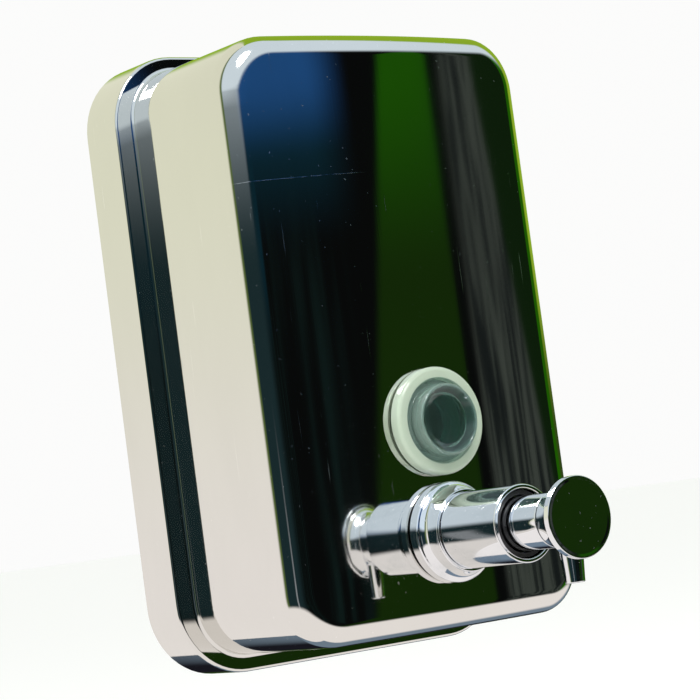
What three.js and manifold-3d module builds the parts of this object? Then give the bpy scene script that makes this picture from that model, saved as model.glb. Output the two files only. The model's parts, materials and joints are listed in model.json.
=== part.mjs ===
// A wall-mounted soap dispenser: a drawn stainless tank with a locking filler lid, a sight glass and a
// push pump, hung on a wall bracket. Millimetres, +Z up. The wall is the plane y = 0, the front faces -Y,
// and the origin is half-way up the front box. A "depth" is a distance from the wall, so y = -depth.
import * as THREE from 'three';
import { mergeVertices } from 'three/addons/utils/BufferGeometryUtils.js';
import Module from 'manifold-3d';

// Tank shell
const boxWidth = 96;
const boxHeight = 154.4;
const boxCornerRadius = 14.4;
const rimDepth = 14.5; // wall to the ledge
const sideDepth = 42.9; // ledge to the front edge, at the sides
const crownRise = 4.2; // how far the middle of the front face stands out
const frontFillet = 5.6;
const ledgeSide = 5.6;
const ledgeTop = 4;
const ledgeBottom = 4.6;
const rimCornerRadius = 19.5;
const rimEdgeRadius = 1.6;
const ledgeFillet = 1.6;
const shellWall = 1;

// Back plate, hanger and bracket
const plateDepth = 7.5; // wall to the back plate
const plateThickness = 1;
const bracketWidth = 60;
const bracketTopMargin = 35.2; // box's top to the top of the bracket's upturned lip
const strapWidth = 50;
const stripThickness = 1.2;
const hookHeight = 7;
const wallHoleRadius = 2.4;
const wallHoleSpacingX = 40;
const wallHoleSpacingZ = 60;
const wallHoleDrop = 8.8; // step under the lip to the upper wall holes
const securityScrewRadius = 1.5;
const hexKeyRadius = 0.85;
const hexKeyDepth = 1.5;

// Filler lid and lock
const lidSideMargin = 4.6; // lid's edge to where the shell's corner begins
const lidRearMargin = 8.9; // lid's edge to where the ledge's fillet ends
const lidFrontMargin = 4.6; // lid's edge to where the front fillet begins
const lidThickness = 1;
const lidCornerRadius = 3;
const lidSeat = 3; // how far the frame reaches in under the lid
const frameMargin = 3.2; // how far the frame reaches out under the shell
const frameFloor = 0.9; // thickness of the frame under the seal
const sealThickness = 1;
const knuckleRadius = 1.6;
const hingePinRadius = 0.8;
const hingeLength = 36;
const hingeSetback = 1.8; // hinge axis behind the lid's rear edge
const leafThickness = 0.8;
const leafReach = 3.8; // fixed leaf behind the hinge axis
const mouthToLock = 3.24; // filler mouth's depth over the lock's radius
const lockHeadRise = 0.6;
const lockLength = 8;
const lockNutThickness = 2.4;
const keySlotWidth = 1;
const keySlotDepth = 5;
const camReach = 2.6; // how far the turned cam reaches under the frame
const camThickness = 1.2;
const screwHoleDepth = 3; // cam screw's hole up into the core

// Sight glass
const sightTubeRadius = 10.2;
const sightFlangeReach = 3.65; // flange beyond the tube
const sightFlangeThickness = 2.2;
const sightEdgeRadius = 1.1;
const sightGrooveReach = 0.8; // groove's outer edge beyond the tube
const sightGrooveDepth = 1.1;
const sightDomeStep = 1; // dome narrower than the tube
const sightDomeRise = 3.4; // dome in front of the flange
const sightDishDepth = 1.3;
const sightWall = 1.7;
const sightTailLength = 6.5; // tube behind the shell's face
const sightNutReach = 2.8; // nut beyond the tube
const sightNutThickness = 3.2;

// Pump
const pumpRise = 24.5; // box's underside to the pump's axis
const skirtWidth = 0.8; // rim of a fitting that hides its gasket
const fittingSpacing = 1.75; // between the collar and the sight glass above it
const neckRadius = 6.8;
const neckWall = 1.3;
const neckInside = 12.3; // length of the neck inside the barrel, at rest
const bodyWall = 1.15;
const barrelWall = 1.15;
const collarReach = 3.05; // collar beyond the barrel
const collarLength = 7.4;
const collarRimLength = 2.2;
const collarNoseReach = 0.75; // nose of the collar beyond the barrel
const barrelReach = 30.2; // crown of the front face to the barrel's mouth
const guideSetback = 0.9; // guide ring behind the barrel's mouth
const bodyTail = 30.6; // pump body behind the crown of the front face
const bodyFrontGap = 4; // pump body behind the barrel's mouth
const flangeReach = 3.7; // flange beyond the pump body
const flangeThickness = 2.4;
const chamberEndWall = 2;
const springStepSetback = 4.6; // spring's rear end behind the crown
const buttonReach = 3.2; // push face beyond the neck
const buttonStandoff = 20.1; // barrel's mouth to the push face, at rest
const buttonThickness = 1.8;
const flareLength = 6.5;
const spoutRootRadius = 3.2;
const spoutTipRadius = 2.4;
const spoutBoreRadius = 1.5;
const spoutSetback = 4.8; // push face to the spout's axis
const spoutDrop = 15.5; // pump axis to the spout's tip
const rodRadius = 3.2;
const rodBoreRadius = 1.3;
const rodInletRadius = 0.8;
const rodGrip = 1; // length of the rod inside the push button
const pistonSetback = 15.6; // piston's rear face behind the crown, at rest
const pistonLength = 5;
const pistonGap = 0.4; // to the chamber's wall
const sealGrooveDepth = 1.1;
const sealRingWidth = 1.4;
const sealGap = 0.15; // soft seal to the chamber's wall
const springWireRadius = 0.42;
const springTurns = 7;
const inletBallRadius = 1.9;
const outletBallRadius = 1;
const inletBoreRadius = 1.3;
const elbowRadius = 6;
const elbowLength = 11;
const elbowWall = 2;
const tubeRadius = 3;
const tubeBoreRadius = 1.7;
const tubeSocketLength = 4;
const strainerRadius = 4.4;
const strainerLength = 5;
const strainerSlotWidth = 1.2;
const strainerClearance = 2.2; // strainer above the tank's floor

// Fits and gaskets
const gap = 0.3; // between pieces that rest on each other
const runningGap = 0.35; // between pieces that slide in each other
const pinGap = 0.2; // between the hinge pin and the knuckles
const gasketThickness = 0.7;

const over = 1; // how far a cutter reaches past what it cuts

// Facets
const fine = 32;
const medium = 24;
const coarse = 16;
const nutSides = 12;
const hexSides = 6;
const cornerSteps = 5;
const edgeSteps = 6;
const filletSteps = 4;
const faceRings = [0.8, 0.6, 0.4, 0.2];

const wasm = await Module();
wasm.setup();

const metal = (color, roughness) => new THREE.MeshStandardMaterial({ color, roughness, metalness: 1 });
const moulded = (color, roughness) => new THREE.MeshStandardMaterial({ color, roughness, metalness: 0 });
const polishedSteel = () => metal(0xb9bab6, 0.12);
const plainSteel = () => metal(0x9fa09d, 0.35);
const chrome = () => metal(0xd4d6d8, 0.05);
const blackRubber = () => moulded(0x161616, 0.7);
const blackPlastic = () => moulded(0x0f1011, 0.4);
const whitePlastic = () => moulded(0xe4e4df, 0.45);

function clearPlastic() {
  const material = moulded(0xdde5dc, 0.15);
  material.transparent = true;
  material.opacity = 0.5;
  return material;
}

// A closed three.js geometry as a manifold solid that faces outwards.
function solid(geometry) {
  const bare = new THREE.BufferGeometry();
  bare.setAttribute('position', geometry.getAttribute('position'));
  bare.setIndex(geometry.getIndex());
  const merged = mergeVertices(bare, 1e-4);
  const index = [];
  const source = merged.getIndex().array;
  for (let i = 0; i < source.length; i += 3) {
    const [a, b, c] = source.subarray(i, i + 3);
    if (a !== b && b !== c && c !== a) index.push(a, b, c);
  }
  const vertProperties = merged.getAttribute('position').array;
  const build = (order) => {
    const triVerts = new Uint32Array(order);
    return new wasm.Manifold(new wasm.Mesh({ numProp: 3, vertProperties, triVerts }));
  };
  const made = build(index);
  return made.volume() > 0 ? made : build(index.reverse());
}

// A manifold solid as a three.js geometry.
function geometryOf(made) {
  const mesh = made.getMesh();
  const geometry = new THREE.BufferGeometry();
  geometry.setAttribute('position', new THREE.BufferAttribute(new Float32Array(mesh.vertProperties), 3));
  geometry.setIndex(new THREE.BufferAttribute(new Uint32Array(mesh.triVerts), 1));
  const shaded = geometry.toNonIndexed();
  shaded.computeVertexNormals();
  return shaded;
}

function part(name, made, material) {
  const mesh = new THREE.Mesh(geometryOf(made), material);
  mesh.name = name;
  return mesh;
}

function join(first, ...others) {
  return others.reduce((whole, piece) => whole.add(piece), first);
}

function cut(body, ...tools) {
  return tools.reduce((whole, tool) => whole.subtract(tool), body);
}

// Blocks, rods along the depth axis, posts along Z and bars along X.
function block([x0, x1], [depth0, depth1], [z0, z1]) {
  const geometry = new THREE.BoxGeometry(x1 - x0, depth1 - depth0, z1 - z0);
  geometry.translate((x0 + x1) / 2, -(depth0 + depth1) / 2, (z0 + z1) / 2);
  return solid(geometry);
}

function rod(radius, [depth0, depth1], z, segments = medium) {
  const geometry = new THREE.CylinderGeometry(radius, radius, depth1 - depth0, segments);
  geometry.translate(0, -(depth0 + depth1) / 2, z);
  return solid(geometry);
}

function post(radius, [z0, z1], depth, segments = medium, x = 0) {
  const geometry = new THREE.CylinderGeometry(radius, radius, z1 - z0, segments);
  geometry.rotateX(Math.PI / 2);
  geometry.translate(x, -depth, (z0 + z1) / 2);
  return solid(geometry);
}

function bar(radius, [x0, x1], depth, z, segments = coarse) {
  const geometry = new THREE.CylinderGeometry(radius, radius, x1 - x0, segments);
  geometry.rotateZ(Math.PI / 2);
  geometry.translate((x0 + x1) / 2, -depth, z);
  return solid(geometry);
}

function ball(radius, depth, z) {
  const geometry = new THREE.SphereGeometry(radius, coarse, coarse / 2);
  geometry.translate(0, -depth, z);
  return solid(geometry);
}

// A solid of revolution about a line along the depth axis at height z. The profile is [radius, depth] pairs.
function turned(profile, z, segments = fine) {
  const points = [...profile, profile[0]].map(([r, depth]) => new THREE.Vector2(r, -depth));
  const geometry = new THREE.LatheGeometry(points, segments);
  geometry.translate(0, 0, z);
  return solid(geometry);
}

// A solid of revolution about a vertical line at a depth. The profile is [radius, z] pairs.
function turnedUpright(profile, depth, segments = medium) {
  const points = [...profile, profile[0]].map(([r, z]) => new THREE.Vector2(r, z));
  const geometry = new THREE.LatheGeometry(points, segments);
  geometry.rotateX(Math.PI / 2);
  geometry.translate(0, -depth, 0);
  return solid(geometry);
}

// A quarter round as [radius, depth] pairs, from angle start to start + 90 degrees about a centre.
function quarter([r, depth], radius, start, steps = 3) {
  return Array.from({ length: steps + 1 }, (_, k) => {
    const angle = ((start + (90 * k) / steps) * Math.PI) / 180;
    return [r + radius * Math.cos(angle), depth + radius * Math.sin(angle)];
  });
}

// A flat outline pulled up from z0 to z1. The outline is a rounded rectangle in x and depth.
function roundedSlab([x0, x1], [depth0, depth1], [z0, z1], radius) {
  const shape = new THREE.Shape();
  shape.moveTo(x0 + radius, -depth1);
  shape.lineTo(x1 - radius, -depth1);
  shape.absarc(x1 - radius, -depth1 + radius, radius, -Math.PI / 2, 0);
  shape.lineTo(x1, -depth0 - radius);
  shape.absarc(x1 - radius, -depth0 - radius, radius, 0, Math.PI / 2);
  shape.lineTo(x0 + radius, -depth0);
  shape.absarc(x0 + radius, -depth0 - radius, radius, Math.PI / 2, Math.PI);
  shape.lineTo(x0, -depth1 + radius);
  shape.absarc(x0 + radius, -depth1 + radius, radius, Math.PI, 1.5 * Math.PI);
  const settings = { depth: z1 - z0, bevelEnabled: false, curveSegments: 4 };
  const geometry = new THREE.ExtrudeGeometry(shape, settings);
  geometry.translate(0, 0, z0);
  return solid(geometry);
}

// A sheet strip: [depth, z] corners of its edge, pulled along X.
function strip(corners, [x0, x1]) {
  const shape = new THREE.Shape(corners.map(([depth, z]) => new THREE.Vector2(-depth, z)));
  const geometry = new THREE.ExtrudeGeometry(shape, { depth: x1 - x0, bevelEnabled: false });
  geometry.rotateX(Math.PI / 2);
  geometry.rotateZ(Math.PI / 2);
  geometry.translate(x0, 0, 0);
  return solid(geometry);
}

// --- Tank shell -------------------------------------------------------------------------------------

const halfWidth = boxWidth / 2;
const boxTop = boxHeight / 2;
const edgeDepth = rimDepth + sideDepth;
const frontDepth = edgeDepth + crownRise;
const tankFloor = -boxTop + shellWall;
const crown = (x) => crownRise * (1 - (x / halfWidth) ** 2);

// --- Sizes and places of the fittings ------------------------------------------------------------------

const pumpHeight = -boxTop + pumpRise;
const barrelFrontDepth = frontDepth + barrelReach;
const buttonFrontDepth = barrelFrontDepth + buttonStandoff;
const neckRearDepth = barrelFrontDepth - neckInside;
const bodyRearDepth = frontDepth - bodyTail;
const springStepDepth = frontDepth - springStepSetback;
const pistonDepth = frontDepth - pistonSetback;
const neckBore = neckRadius - neckWall;
const chamberRadius = neckBore - gap;
const pistonRadius = chamberRadius - pistonGap;
const guideBore = neckRadius + runningGap;
const bodyRadius = guideBore + bodyWall;
const flangeRadius = bodyRadius + flangeReach;
const barrelBore = bodyRadius + gap;
const barrelRadius = barrelBore + barrelWall;
const collarRadius = barrelRadius + collarReach;
const buttonRadius = neckRadius + buttonReach;
const sightFlangeRadius = sightTubeRadius + sightFlangeReach;
const sightHeight = pumpHeight + collarRadius + fittingSpacing + sightFlangeRadius;
const gasketSeat = frontDepth + gap; // rear face of a gasket on the front of the shell
const fittingSeat = gasketSeat + gasketThickness + gap; // rear face of a fitting in front of it

// The depth behind the crowned face where a flat washer of this radius rests.
const seatBehindFace = (radius) => frontDepth - shellWall - crownRise * (radius / halfWidth) ** 2 - gap;

// The box's or the rim's outline as [x, z] pairs, drawn in by inset all round.
function outline(half, top, bottom, radius, inset) {
  const r = Math.max(radius - inset, 0.5);
  const [w, t, b] = [half - inset, top - inset, bottom + inset];
  const points = [];
  const corner = (x, z, start) => {
    for (let k = 0; k <= cornerSteps; k += 1) {
      const angle = ((start + (90 * k) / cornerSteps) * Math.PI) / 180;
      points.push([x + r * Math.cos(angle), z + r * Math.sin(angle)]);
    }
  };
  const edge = (from, to, z) => {
    for (let k = 1; k < edgeSteps; k += 1) points.push([from + ((to - from) * k) / edgeSteps, z]);
  };
  corner(w - r, t - r, 0);
  edge(w - r, -w + r, t);
  corner(-w + r, t - r, 90);
  corner(-w + r, b + r, 180);
  edge(-w + r, w - r, b);
  corner(w - r, b + r, 270);
  return points;
}

const boxOutline = (inset) => outline(halfWidth, boxTop, -boxTop, boxCornerRadius, inset);
const rimOutline = (inset) =>
  outline(halfWidth + ledgeSide, boxTop + ledgeTop, -boxTop - ledgeBottom, rimCornerRadius, inset);

// A closed skin over rings of equal length, from the first ring's flat end to a point at the last one.
function loft(rings, tip) {
  const count = rings[0].length;
  const rearCentre = [0, rings[0][0][1], 0];
  const points = [...rings.flat(), rearCentre, tip];
  const index = [];
  for (let i = 0; i < count; i += 1) {
    const next = (i + 1) % count;
    index.push(points.length - 2, next, i);
    for (let k = 0; k + 1 < rings.length; k += 1) {
      const [a, b] = [k * count + i, k * count + next];
      index.push(a, b, b + count, a, b + count, a + count);
    }
    const last = (rings.length - 1) * count;
    index.push(last + i, last + next, points.length - 1);
  }
  const geometry = new THREE.BufferGeometry();
  geometry.setAttribute('position', new THREE.Float32BufferAttribute(points.flat(), 3));
  geometry.setIndex(index);
  return solid(geometry);
}

// The shell's outer form, or with an inset the space inside a wall of that thickness.
function shellForm(inset, rearDepth) {
  const ring = (points, depth) => points.map(([x, z]) => [x, -depth(x), z]);
  const flat = (depth) => () => depth - inset;
  const bulged = (depth) => (x) => depth - inset + crown(x);
  const rings = [ring(rimOutline(inset), () => rearDepth)];
  for (let k = 0; k <= filletSteps; k += 1) {
    const angle = (k / filletSteps) * (Math.PI / 2);
    const radius = rimEdgeRadius;
    const drawn = radius * (1 - Math.cos(angle));
    rings.push(ring(rimOutline(inset + drawn), flat(rimDepth - radius * (1 - Math.sin(angle)))));
  }
  for (let k = 0; k <= filletSteps; k += 1) {
    const angle = (k / filletSteps) * (Math.PI / 2);
    const spread = ledgeFillet * (1 - Math.sin(angle));
    rings.push(ring(boxOutline(inset - spread), flat(rimDepth + ledgeFillet * (1 - Math.cos(angle)))));
  }
  for (let k = 0; k <= filletSteps; k += 1) {
    const angle = (k / filletSteps) * (Math.PI / 2);
    const drawn = frontFillet * (1 - Math.cos(angle));
    rings.push(ring(boxOutline(inset + drawn), bulged(edgeDepth - frontFillet * (1 - Math.sin(angle)))));
  }
  for (const share of faceRings) {
    const shrunk = boxOutline(inset + frontFillet).map(([x, z]) => [x * share, z * share]);
    rings.push(ring(shrunk, bulged(edgeDepth)));
  }
  return loft(rings, [0, -(frontDepth - inset), 0]);
}

const widen = ([low, high], by) => [low - by, high + by];

// --- Places of the lid, the lock and the fittings on the shell ----------------------------------------

const rimBottom = -boxTop - ledgeBottom;
const lidHalf = halfWidth - boxCornerRadius - lidSideMargin;
const lidSpan = [-lidHalf, lidHalf];
const lidDepths = [rimDepth + ledgeFillet + lidRearMargin, edgeDepth - frontFillet - lidFrontMargin];
const mouthSpan = widen(lidSpan, -lidSeat);
const mouthDepths = widen(lidDepths, -lidSeat);
const hingeDepth = lidDepths[0] - hingeSetback;
const hingeHeight = boxTop + gap + knuckleRadius;
const lockRadius = (mouthDepths[1] - mouthDepths[0]) / mouthToLock;
const lockDepth = mouthDepths[0] + 1.52 * lockRadius;
const lockHeadRadius = 1.28 * lockRadius;
const lockNutRadius = 1.4 * lockRadius;
const lockCoreRadius = 0.7 * lockRadius;
const keySlotLength = 0.88 * lockRadius;
const shankSize = 0.64 * lockRadius;
const camWidth = 1.2 * lockRadius;
const camScrewRadius = 0.2 * lockRadius;
const camScrewHeadRadius = 0.56 * lockRadius;
const frameTop = boxTop - shellWall - gap;
const sealTop = boxTop - lidThickness - gap;
const sealFoot = sealTop - sealThickness;
const frameFoot = sealFoot - gap - frameFloor;
const securityScrewDepth = plateDepth / 2;

function frontShell() {
  const behindFace = frontDepth - crownRise - 4 * shellWall;
  const lidHole = roundedSlab(
    widen(lidSpan, gap),
    widen(lidDepths, gap),
    [boxTop - 2 * shellWall, boxTop + shellWall],
    lidCornerRadius,
  );
  const pumpHole = rod(bodyRadius + gap, [behindFace, frontDepth + shellWall], pumpHeight);
  const sightHole = rod(sightTubeRadius + gap, [behindFace, frontDepth + shellWall], sightHeight);
  const screwHole = post(
    securityScrewRadius + gap,
    [rimBottom - shellWall, rimBottom + 2 * shellWall],
    securityScrewDepth,
    coarse,
  );
  return cut(shellForm(0, 0), shellForm(shellWall, -over), lidHole, pumpHole, sightHole, screwHole);
}

// --- Back plate, hanger and bracket -------------------------------------------------------------------

function backPlate() {
  const shape = new THREE.Shape(rimOutline(shellWall + gap).map(([x, z]) => new THREE.Vector2(x, z)));
  const geometry = new THREE.ExtrudeGeometry(shape, { depth: plateThickness, bevelEnabled: false });
  geometry.rotateX(Math.PI / 2);
  geometry.translate(0, -plateDepth, 0);
  return solid(geometry);
}

const lipRear = 2 * stripThickness + gap; // the bracket's lip stands in front of the strap's hook
const lipFront = lipRear + stripThickness;
const bracketTop = boxTop - bracketTopMargin;
const lipFoot = bracketTop - hookHeight;
const strapFront = plateDepth - gap;
const tabFoot = rimBottom + shellWall + gap;

function hangerStrap() {
  const top = bracketTop + gap + stripThickness;
  return strip(
    [
      [stripThickness, lipFoot + gap],
      [2 * stripThickness, lipFoot + gap],
      [2 * stripThickness, bracketTop + gap],
      [strapFront - stripThickness, bracketTop + gap],
      [strapFront - stripThickness, lipFoot - hookHeight],
      [strapFront, lipFoot - hookHeight],
      [strapFront, top],
      [stripThickness, top],
    ],
    [-strapWidth / 2, strapWidth / 2],
  );
}

function wallBracket() {
  const plate = strip(
    [
      [0, tabFoot],
      [strapFront, tabFoot],
      [strapFront, tabFoot + stripThickness],
      [stripThickness, tabFoot + stripThickness],
      [stripThickness, lipFoot - stripThickness],
      [lipFront, lipFoot - stripThickness],
      [lipFront, bracketTop],
      [lipRear, bracketTop],
      [lipRear, lipFoot],
      [0, lipFoot],
    ],
    [-bracketWidth / 2, bracketWidth / 2],
  );
  const upperHoles = lipFoot - stripThickness - wallHoleDrop;
  const holes = [upperHoles, upperHoles - wallHoleSpacingZ].flatMap((height) =>
    [-1, 1].map((side) => {
      const hole = rod(wallHoleRadius, [-over, stripThickness + over], height, coarse);
      return hole.translate([(side * wallHoleSpacingX) / 2, 0, 0]);
    }),
  );
  const screwHeights = [tabFoot - over, tabFoot + stripThickness + over];
  return cut(plate, ...holes, post(securityScrewRadius + gap, screwHeights, securityScrewDepth, coarse));
}

// A headless screw through the rim and the bracket's tab, level with the rim's underside.
function securityScrew() {
  const foot = rimBottom + gap;
  const shank = post(securityScrewRadius, [foot, tabFoot + 3 * stripThickness], securityScrewDepth, coarse);
  return cut(shank, post(hexKeyRadius, [foot - over, foot + hexKeyDepth], securityScrewDepth, hexSides));
}

// --- Filler lid and lock --------------------------------------------------------------------------------

// A ring under the shell's top, with a pocket for the seal and the lid.
function fillerFrame() {
  const plate = roundedSlab(
    widen(lidSpan, frameMargin),
    widen(lidDepths, frameMargin),
    [frameFoot, frameTop],
    lidCornerRadius + frameMargin,
  );
  const pocket = roundedSlab(
    widen(lidSpan, gap),
    widen(lidDepths, gap),
    [sealFoot - gap, frameTop + over],
    lidCornerRadius + gap,
  );
  const mouthHeights = [frameFoot - over, frameTop];
  return cut(plate, pocket, roundedSlab(mouthSpan, mouthDepths, mouthHeights, lidCornerRadius));
}

function hingeLeaf() {
  const half = hingeLength / 2;
  const lidPart = half / 3 + gap;
  const foot = boxTop + gap;
  const leaf = block(
    [-half, half],
    [hingeDepth - leafReach, hingeDepth - knuckleRadius - gap],
    [foot, foot + leafThickness],
  );
  const bore = bar(hingePinRadius + pinGap, [-half - over, half + over], hingeDepth, hingeHeight);
  const sides = [
    [-half, -lidPart],
    [lidPart, half],
  ];
  const knuckles = sides.map((span) => {
    const web = block(span, [hingeDepth - leafReach, hingeDepth], [foot, foot + leafThickness]);
    return join(bar(knuckleRadius, span, hingeDepth, hingeHeight), web);
  });
  return cut(join(leaf, ...knuckles), bore);
}

function hingePin() {
  const half = hingeLength / 2 + gap;
  return bar(hingePinRadius, [-half, half], hingeDepth, hingeHeight);
}

function lid() {
  const half = hingeLength / 6;
  const foot = boxTop + gap;
  const plate = roundedSlab(lidSpan, lidDepths, [boxTop - lidThickness, boxTop], lidCornerRadius);
  const knuckle = bar(knuckleRadius, [-half, half], hingeDepth, hingeHeight);
  const arm = block([-half, half], [hingeDepth, lidDepths[0] + lidSeat], [foot, foot + leafThickness]);
  const heel = block(
    [-half, half],
    [lidDepths[0] + gap, lidDepths[0] + lidSeat],
    [boxTop - lidThickness / 2, foot + leafThickness],
  );
  const bore = bar(hingePinRadius + pinGap, [-half - over, half + over], hingeDepth, hingeHeight);
  const lockHole = post(lockRadius + gap, [boxTop - 2 * lidThickness, boxTop + lidThickness], lockDepth);
  return cut(join(plate, knuckle, arm, heel), bore, lockHole);
}

function lidSeal() {
  const spans = [widen(lidSpan, -gap), widen(lidDepths, -gap)];
  const holes = [widen(mouthSpan, gap), widen(mouthDepths, gap)];
  const outer = roundedSlab(...spans, [sealFoot, sealTop], lidCornerRadius);
  return cut(outer, roundedSlab(...holes, [sealFoot - over, sealTop + over], lidCornerRadius));
}

const lockHeadTop = boxTop + gap + lockHeadRise;
const lockFoot = boxTop - lockLength;
const coreFoot = lockFoot - gap;
const camTop = coreFoot - gap;

function lockBarrel() {
  const bore = lockCoreRadius + runningGap;
  return turnedUpright(
    [
      [bore, lockHeadTop],
      [lockHeadRadius - lockHeadRise / 2, lockHeadTop],
      [lockHeadRadius, lockHeadTop - lockHeadRise / 2],
      [lockHeadRadius, boxTop + gap],
      [lockRadius, boxTop + gap],
      [lockRadius, lockFoot],
      [bore, lockFoot],
    ],
    lockDepth,
  );
}

function lockNut() {
  const nut = post(lockNutRadius, [sealTop - lockNutThickness, sealTop], lockDepth, hexSides);
  return cut(nut, post(lockRadius + gap, [sealTop - lockNutThickness - over, sealTop + over], lockDepth));
}

function lockCore() {
  const half = shankSize / 2;
  const core = post(lockCoreRadius, [coreFoot, lockHeadTop - lockHeadRise / 2], lockDepth);
  const shankHeights = [camTop - camThickness + gap, coreFoot];
  const shank = block([-half, half], [lockDepth - half, lockDepth + half], shankHeights);
  const keySlot = block(
    [-keySlotLength / 2, keySlotLength / 2],
    [lockDepth - keySlotWidth / 2, lockDepth + keySlotWidth / 2],
    [lockHeadTop - keySlotDepth, lockHeadTop + over],
  );
  const holeHeights = [camTop - camThickness - over, coreFoot + screwHoleDepth];
  const screwHole = post(camScrewRadius + gap, holeHeights, lockDepth, coarse);
  return cut(join(core, shank), keySlot, screwHole);
}

// The cam is cranked up past the nut, so that its tip lies just under the frame.
function lockCam() {
  const tip = mouthDepths[1] - lockDepth + camReach;
  const riser = lockNutRadius + gap;
  const tipTop = frameFoot - 2 * gap;
  const half = shankSize / 2 + gap;
  const shape = new THREE.Shape([
    new THREE.Vector2(-camWidth / 2, camTop - camThickness),
    new THREE.Vector2(riser + camThickness, camTop - camThickness),
    new THREE.Vector2(riser + camThickness, tipTop - camThickness),
    new THREE.Vector2(tip, tipTop - camThickness),
    new THREE.Vector2(tip, tipTop),
    new THREE.Vector2(riser, tipTop),
    new THREE.Vector2(riser, camTop),
    new THREE.Vector2(-camWidth / 2, camTop),
  ]);
  const geometry = new THREE.ExtrudeGeometry(shape, { depth: camWidth, bevelEnabled: false });
  geometry.rotateX(Math.PI / 2);
  geometry.translate(0, -lockDepth + camWidth / 2, 0);
  const hole = block(
    [-half, half],
    [lockDepth - half, lockDepth + half],
    [camTop - camThickness - over, camTop + over],
  );
  return cut(solid(geometry), hole);
}

function camScrew() {
  const headTop = camTop - camThickness - gap;
  const head = post(camScrewHeadRadius, [headTop - camThickness, headTop], lockDepth, coarse);
  return join(head, post(camScrewRadius, [headTop, coreFoot + screwHoleDepth - over], lockDepth, coarse));
}

// --- Sight glass ------------------------------------------------------------------------------------

function washer(innerRadius, outerRadius, [depth0, depth1], z) {
  return turned(
    [
      [innerRadius, depth0],
      [outerRadius, depth0],
      [outerRadius, depth1],
      [innerRadius, depth1],
    ],
    z,
    medium,
  );
}

function sightGlass() {
  const flangeFront = fittingSeat + sightFlangeThickness;
  const tailRear = frontDepth - sightTailLength;
  const domeFront = flangeFront + sightDomeRise;
  const windowFront = domeFront - sightDishDepth;
  const windowRear = windowFront - sightWall;
  const domeRadius = sightTubeRadius - sightDomeStep;
  const bore = domeRadius - sightWall;
  const rounding = sightDishDepth / 2;
  const grooveFloor = flangeFront - sightGrooveDepth;
  return turned(
    [
      [0, windowRear],
      [bore, windowRear],
      [bore, tailRear],
      [sightTubeRadius, tailRear],
      [sightTubeRadius, fittingSeat],
      [sightFlangeRadius - skirtWidth, fittingSeat],
      [sightFlangeRadius - skirtWidth, gasketSeat],
      [sightFlangeRadius, gasketSeat],
      ...quarter([sightFlangeRadius - sightEdgeRadius, flangeFront - sightEdgeRadius], sightEdgeRadius, 0),
      [sightTubeRadius + sightGrooveReach, flangeFront],
      [sightTubeRadius, grooveFloor],
      [domeRadius, grooveFloor],
      ...quarter([domeRadius - rounding, domeFront - rounding], rounding, 0),
      [bore, windowFront + sightDishDepth / 2],
      [bore - sightDishDepth, windowFront],
      [0, windowFront],
    ],
    sightHeight,
  );
}

function sightGasket() {
  const depths = [gasketSeat, gasketSeat + gasketThickness];
  return washer(sightTubeRadius + gap, sightFlangeRadius - skirtWidth - gap, depths, sightHeight);
}

function sightNut() {
  const radius = sightTubeRadius + sightNutReach;
  const front = seatBehindFace(radius);
  const nut = rod(radius, [front - sightNutThickness, front], sightHeight, nutSides);
  return cut(nut, rod(sightTubeRadius + gap, [front - sightNutThickness - over, front + over], sightHeight));
}

// --- Pump: fixed pieces -----------------------------------------------------------------------------

const bodyFront = barrelFrontDepth - bodyFrontGap;
const collarFront = fittingSeat + collarLength;
const flangeSeat = seatBehindFace(flangeRadius) - gasketThickness;
const flangeFront = flangeSeat - gap;
const chamberRear = bodyRearDepth + chamberEndWall;

function outerGasket() {
  const depths = [gasketSeat, gasketSeat + gasketThickness];
  return washer(barrelBore, collarRadius - skirtWidth - gap, depths, pumpHeight);
}

function innerGasket() {
  const depths = [flangeSeat, flangeSeat + gasketThickness];
  return washer(barrelBore, flangeRadius - gasketThickness, depths, pumpHeight);
}

function pumpBody() {
  return turned(
    [
      [inletBoreRadius, bodyRearDepth],
      [bodyRadius, bodyRearDepth],
      [bodyRadius, flangeFront - flangeThickness],
      [flangeRadius, flangeFront - flangeThickness],
      [flangeRadius, flangeFront],
      [bodyRadius, flangeFront],
      [bodyRadius, bodyFront],
      [guideBore, bodyFront],
      [guideBore, springStepDepth],
      [chamberRadius, springStepDepth],
      [chamberRadius, chamberRear],
      [inletBoreRadius, chamberRear],
    ],
    pumpHeight,
    medium,
  );
}

// The collar has a short straight rim, then sweeps in to a narrower nose.
function collarNut() {
  const edge = gap;
  const noseRadius = barrelRadius + collarNoseReach;
  const rimFront = fittingSeat + collarRimLength;
  const sweep = Array.from({ length: 5 }, (_, k) => {
    const angle = (k / 4) * (Math.PI / 2);
    const radius = collarRadius - edge - (collarRadius - edge - noseRadius) * Math.sin(angle);
    return [radius, collarFront - (collarFront - rimFront) * Math.cos(angle)];
  });
  return turned(
    [
      [barrelBore, fittingSeat],
      [collarRadius - skirtWidth, fittingSeat],
      [collarRadius - skirtWidth, gasketSeat],
      [collarRadius - edge, gasketSeat],
      [collarRadius, gasketSeat + edge],
      [collarRadius, rimFront - edge],
      ...sweep,
      [barrelBore, collarFront],
    ],
    pumpHeight,
  );
}

function barrelSleeve() {
  return turned(
    [
      [barrelBore, collarFront + gap],
      [barrelRadius, collarFront + gap],
      [barrelRadius, barrelFrontDepth - gap],
      [barrelRadius - gap, barrelFrontDepth],
      [barrelBore, barrelFrontDepth],
    ],
    pumpHeight,
  );
}

function guideRing() {
  return washer(guideBore, barrelBore - gap, [bodyFront + gap, barrelFrontDepth - guideSetback], pumpHeight);
}

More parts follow.
